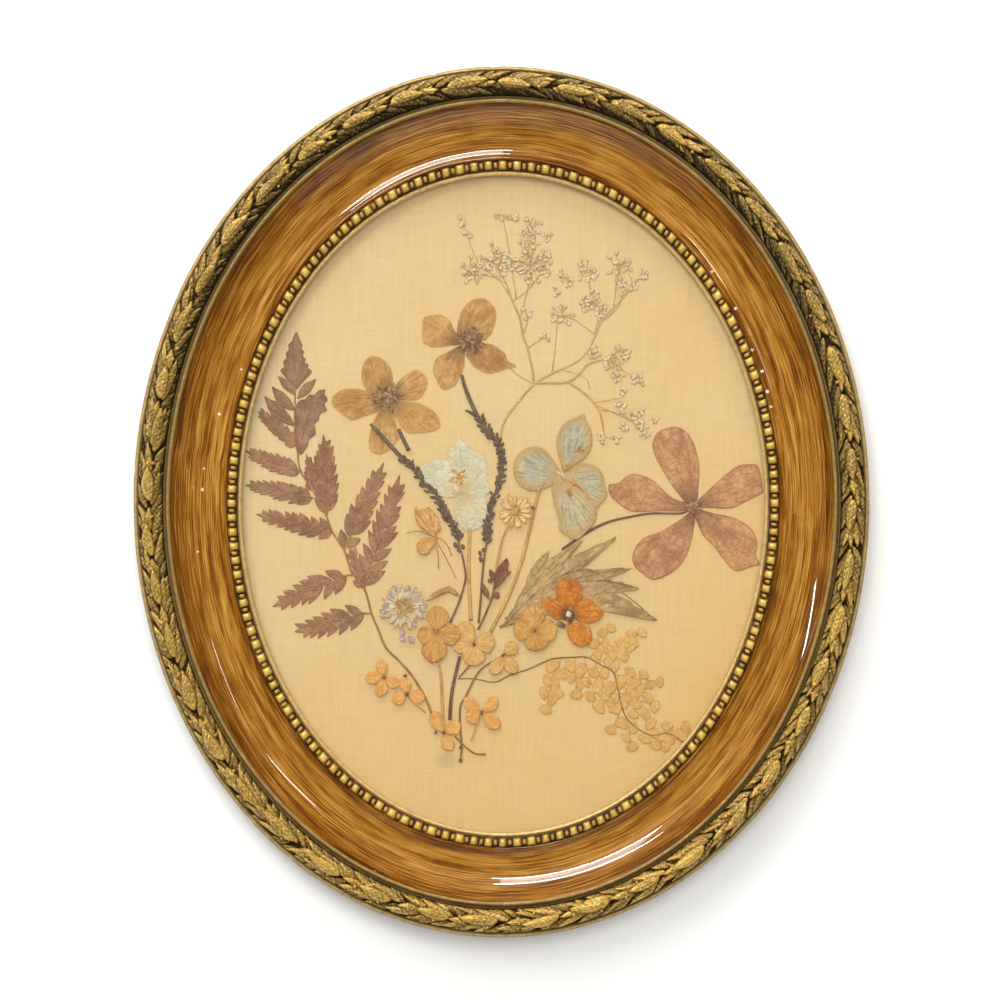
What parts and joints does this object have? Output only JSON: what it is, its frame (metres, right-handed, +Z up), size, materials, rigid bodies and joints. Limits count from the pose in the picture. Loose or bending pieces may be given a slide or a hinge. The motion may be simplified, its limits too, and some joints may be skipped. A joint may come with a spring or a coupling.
{
  "type": "oval frame with pressed flower arrangement",
  "caption": "Oval gilt and wood-grained wall frame with laurel garland, beaded sight edge and a pressed flower spray on silk behind glass.",
  "frame": {"origin": "the notch of the sawtooth hanger where the wall nail bears, at the top of the back", "axes": "+Z up along the oval's long axis, -Y out of the front through the glass, +X to the right seen from the front"},
  "size_m": [0.3684, 0.0358, 0.436],
  "materials": {
    "grained_moulding": "brushed woodgrain under gloss lacquer",
    "aged_gilt": "gilt composition ornament with umber in its hollows",
    "bead_gilt": "rubbed gilt composition beads",
    "glass": "clear picture glass",
    "silk": "matte woven silk over card",
    "brown_board": "aged brown board",
    "plated_steel": "dull plated",
    "fern_brown": "dry matte leaf",
    "amber_petal": "thin translucent petal",
    "pale_petal": "thin dry petal",
    "straw": "dry stem",
    "tan_leaf": "dry matte leaf",
    "dusty_pink_petal": "crinkled dry petal",
    "dark_bud": "dry buds",
    "faded_blue_petal": "thin dry petal with tan rim",
    "sage_leaf": "dry matte leaf",
    "maroon_stem": "dry stem",
    "orange_petal": "thin dry petal",
    "lilac_petal": "thin dry rays",
    "apricot_petal": "thin dry petal",
    "tan_petal": "thin veined petal"
  },
  "bodies": {
    "root": {"frame_moulding": "grained_moulding", "laurel_garland": "aged_gilt", "beaded_sight_edge": "bead_gilt", "glass_pane": "glass", "silk_covered_board": "silk", "backing_board": "brown_board", "sawtooth_hanger": "plated_steel", "hanger_nail_left": "plated_steel", "hanger_nail_right": "plated_steel", "retaining_point_1": "plated_steel", "retaining_point_2": "plated_steel", "retaining_point_3": "plated_steel", "retaining_point_4": "plated_steel", "retaining_point_5": "plated_steel", "retaining_point_6": "plated_steel", "fern_frond": "fern_brown", "amber_flower_left": "amber_petal", "amber_flower_right": "amber_petal", "white_flower": "pale_petal", "gypsophila_spray": "straw", "maidenhair_sprig": "tan_leaf", "pink_flower": "dusty_pink_petal", "dark_spike_left": "dark_bud", "dark_spike_right": "dark_bud", "cut_stem_end": "dark_bud", "blue_flower": "faded_blue_petal", "toothed_leaf": "sage_leaf", "bouquet_stem_1": "straw", "bouquet_stem_2": "maroon_stem", "bouquet_stem_3": "maroon_stem", "bouquet_stem_4": "maroon_stem", "small_daisy": "tan_leaf", "orange_flower": "orange_petal", "lilac_daisy": "lilac_petal", "crumpled_flower": "tan_leaf", "folded_leaf": "tan_leaf", "apricot_floret_1": "apricot_petal", "apricot_floret_2": "apricot_petal", "apricot_floret_3": "apricot_petal", "apricot_floret_4": "apricot_petal", "hydrangea_floret_low_right": "tan_petal", "hydrangea_floret_left": "tan_petal", "hydrangea_floret_middle": "tan_petal", "hydrangea_floret_small": "tan_petal", "maroon_sprig": "maroon_stem"}
  },
  "joints": []
}
